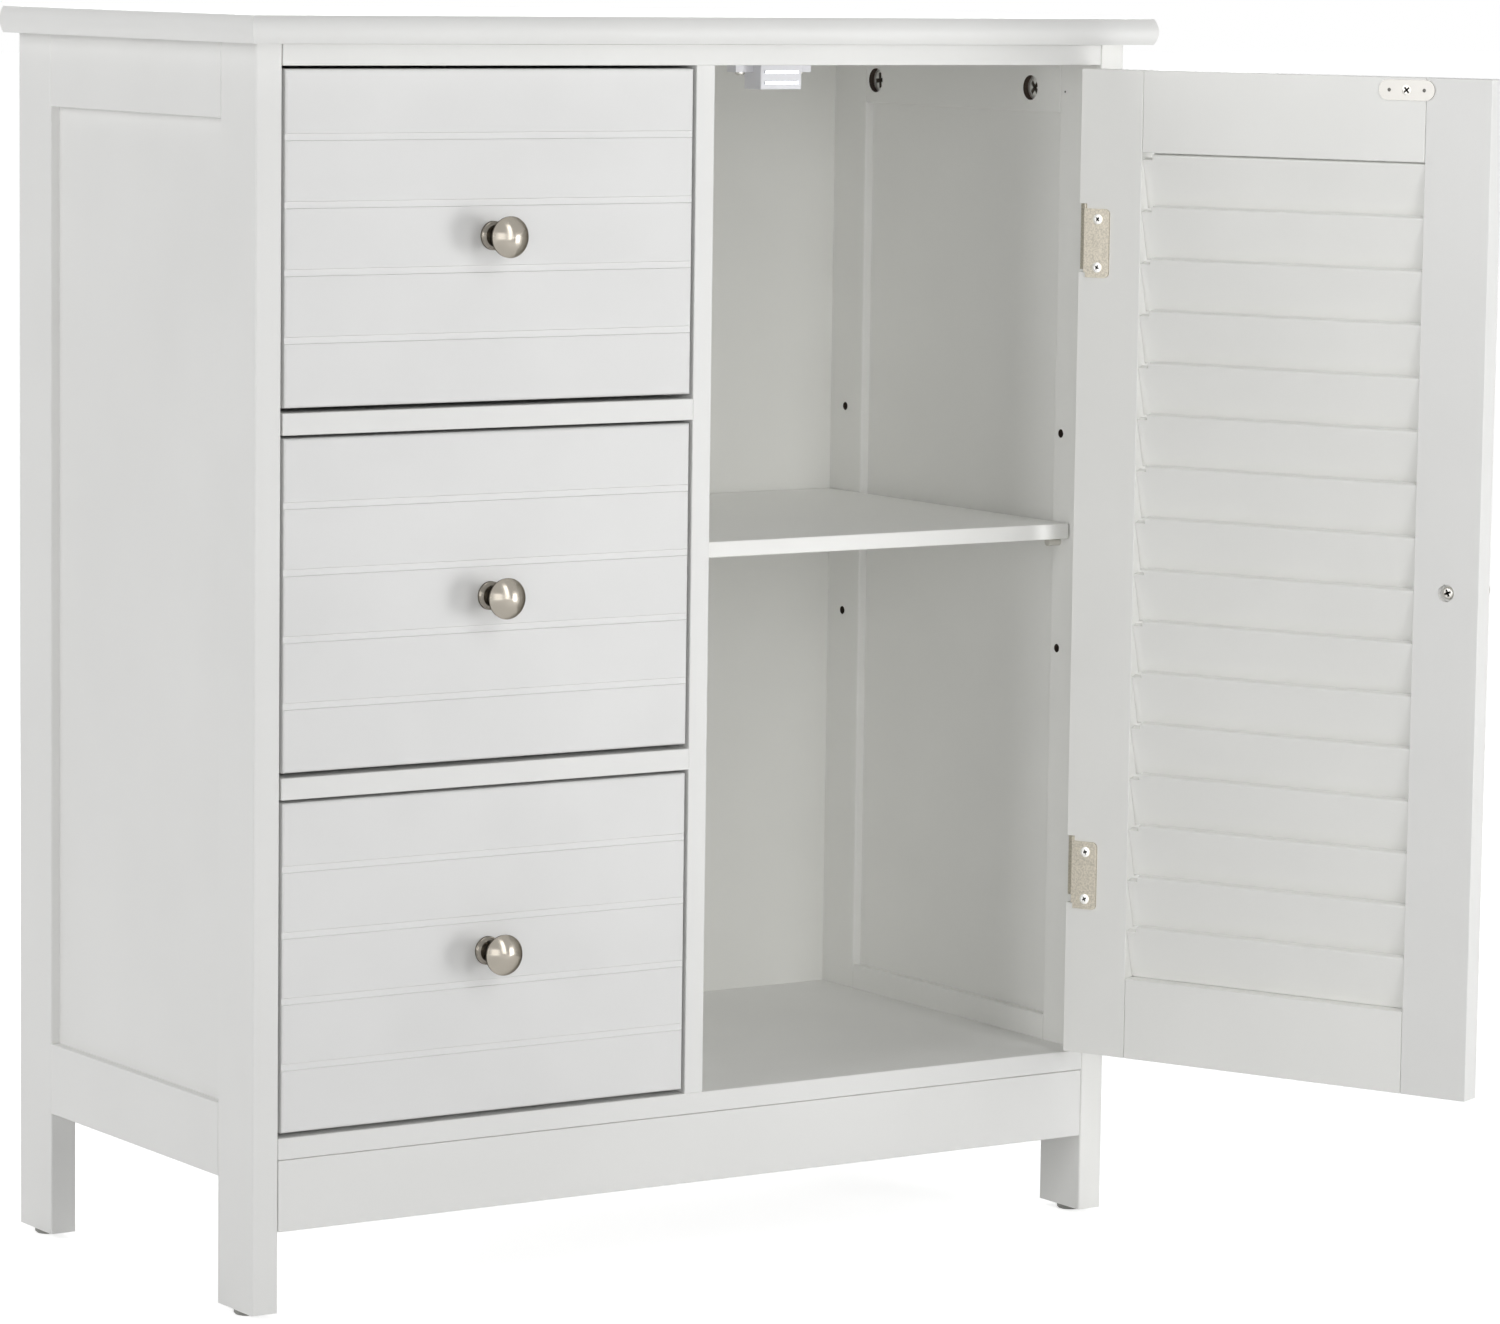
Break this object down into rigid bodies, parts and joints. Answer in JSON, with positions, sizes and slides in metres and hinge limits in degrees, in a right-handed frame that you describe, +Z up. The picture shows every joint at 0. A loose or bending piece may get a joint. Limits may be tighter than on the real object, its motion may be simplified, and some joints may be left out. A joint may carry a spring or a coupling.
{
  "type": "louvred door cabinet",
  "caption": "White freestanding cabinet on straight legs, with a stack of drawers beside a shelved compartment behind one hinged louvred door.",
  "frame": {"origin": "on the floor, under the middle of the carcass footprint (the posts' outer faces, without the top's overhang)", "axes": "+Z up, +Y to the back, +X to the right as seen from the front; the drawers are on the -X side and the louvred door on the +X side"},
  "size_m": [0.6855, 0.5316, 0.71],
  "materials": {
    "painted_wood": "satin white paint on fibreboard and softwood",
    "satin_nickel": "satin nickel",
    "hinge_nickel": "dull nickel plate",
    "zinc_steel": "zinc plate",
    "white_plastic": "moulded white plastic",
    "white_slide_steel": "white epoxy coat on pressed steel"
  },
  "bodies": {
    "carcass": {"top_panel": "painted_wood", "front_left_post": "painted_wood", "front_right_post": "painted_wood", "rear_left_post": "painted_wood", "rear_right_post": "painted_wood", "left_top_rail": "painted_wood", "left_bottom_rail": "painted_wood", "left_side_panel": "painted_wood", "right_top_rail": "painted_wood", "right_bottom_rail": "painted_wood", "right_side_panel": "painted_wood", "front_top_rail": "painted_wood", "bottom_panel": "painted_wood", "front_apron": "painted_wood", "centre_divider": "painted_wood", "upper_drawer_rail": "painted_wood", "lower_drawer_rail": "painted_wood", "back_panel": "painted_wood", "shelf": "painted_wood", "shelf_pins": "zinc_steel", "foot_glides": "white_plastic", "cam_fittings": "zinc_steel", "catch_body": "white_plastic", "catch_poles": "zinc_steel", "frame_hinge_leaves": "hinge_nickel", "hinge_pins": "hinge_nickel", "cabinet_slides": "white_slide_steel"},
    "door": {"door_hinge_stile": "painted_wood", "door_latch_stile": "painted_wood", "door_top_rail": "painted_wood", "door_bottom_rail": "painted_wood", "louvre_slats": "painted_wood", "door_hinge_leaves": "hinge_nickel", "strike_plate": "zinc_steel", "door_knob": "satin_nickel"},
    "upper_drawer": {"upper_drawer_front": "painted_wood", "upper_drawer_sides": "painted_wood", "upper_drawer_back": "painted_wood", "upper_drawer_tray": "painted_wood", "upper_drawer_knob": "satin_nickel", "upper_drawer_slides": "white_slide_steel"},
    "upper_front_rollers": {"upper_front_rollers": "white_plastic"},
    "upper_rear_rollers": {"upper_rear_rollers": "white_plastic"},
    "middle_drawer": {"middle_drawer_front": "painted_wood", "middle_drawer_sides": "painted_wood", "middle_drawer_back": "painted_wood", "middle_drawer_tray": "painted_wood", "middle_drawer_knob": "satin_nickel", "middle_drawer_slides": "white_slide_steel"},
    "middle_front_rollers": {"middle_front_rollers": "white_plastic"},
    "middle_rear_rollers": {"middle_rear_rollers": "white_plastic"},
    "lower_drawer": {"lower_drawer_front": "painted_wood", "lower_drawer_sides": "painted_wood", "lower_drawer_back": "painted_wood", "lower_drawer_tray": "painted_wood", "lower_drawer_knob": "satin_nickel", "lower_drawer_slides": "white_slide_steel"},
    "lower_front_rollers": {"lower_front_rollers": "white_plastic"},
    "lower_rear_rollers": {"lower_rear_rollers": "white_plastic"}
  },
  "joints": [
    {"name": "door_hinge", "type": "hinge", "parent": "carcass", "child": "door", "pos_m": [0.26805, -0.1434, 0.39185], "axis": [0, 0, 1], "range_deg": [-113.5, 56.5]},
    {"name": "upper_drawer_slide", "type": "slide", "parent": "carcass", "child": "upper_drawer", "axis": [0, -1, 0], "range_m": [0, 0.185]},
    {"name": "upper_front_roller_spin", "type": "hinge", "parent": "carcass", "child": "upper_front_rollers", "pos_m": [-0.14025, -0.113, 0.51767], "axis": [1, 0, 0], "range_deg": [0, 1310]},
    {"name": "upper_rear_roller_spin", "type": "hinge", "parent": "upper_drawer", "child": "upper_rear_rollers", "pos_m": [-0.14025, 0.095, 0.51567], "axis": [1, 0, 0], "range_deg": [0, 1310]},
    {"name": "middle_drawer_slide", "type": "slide", "parent": "carcass", "child": "middle_drawer", "axis": [0, -1, 0], "range_m": [0, 0.185]},
    {"name": "middle_front_roller_spin", "type": "hinge", "parent": "carcass", "child": "middle_front_rollers", "pos_m": [-0.14025, -0.113, 0.31933], "axis": [1, 0, 0], "range_deg": [0, 1310]},
    {"name": "middle_rear_roller_spin", "type": "hinge", "parent": "middle_drawer", "child": "middle_rear_rollers", "pos_m": [-0.14025, 0.095, 0.31733], "axis": [1, 0, 0], "range_deg": [0, 1310]},
    {"name": "lower_drawer_slide", "type": "slide", "parent": "carcass", "child": "lower_drawer", "axis": [0, -1, 0], "range_m": [0, 0.185]},
    {"name": "lower_front_roller_spin", "type": "hinge", "parent": "carcass", "child": "lower_front_rollers", "pos_m": [-0.14025, -0.113, 0.121], "axis": [1, 0, 0], "range_deg": [0, 1310]},
    {"name": "lower_rear_roller_spin", "type": "hinge", "parent": "lower_drawer", "child": "lower_rear_rollers", "pos_m": [-0.14025, 0.095, 0.119], "axis": [1, 0, 0], "range_deg": [0, 1310]}
  ],
  "couplings": [
    {"joint": "upper_front_roller_spin", "follows": "upper_drawer_slide", "rad_per_m": 121.95},
    {"joint": "upper_rear_roller_spin", "follows": "upper_drawer_slide", "rad_per_m": 119.05},
    {"joint": "middle_front_roller_spin", "follows": "middle_drawer_slide", "rad_per_m": 121.95},
    {"joint": "middle_rear_roller_spin", "follows": "middle_drawer_slide", "rad_per_m": 119.05},
    {"joint": "lower_front_roller_spin", "follows": "lower_drawer_slide", "rad_per_m": 121.95},
    {"joint": "lower_rear_roller_spin", "follows": "lower_drawer_slide", "rad_per_m": 119.05}
  ]
}
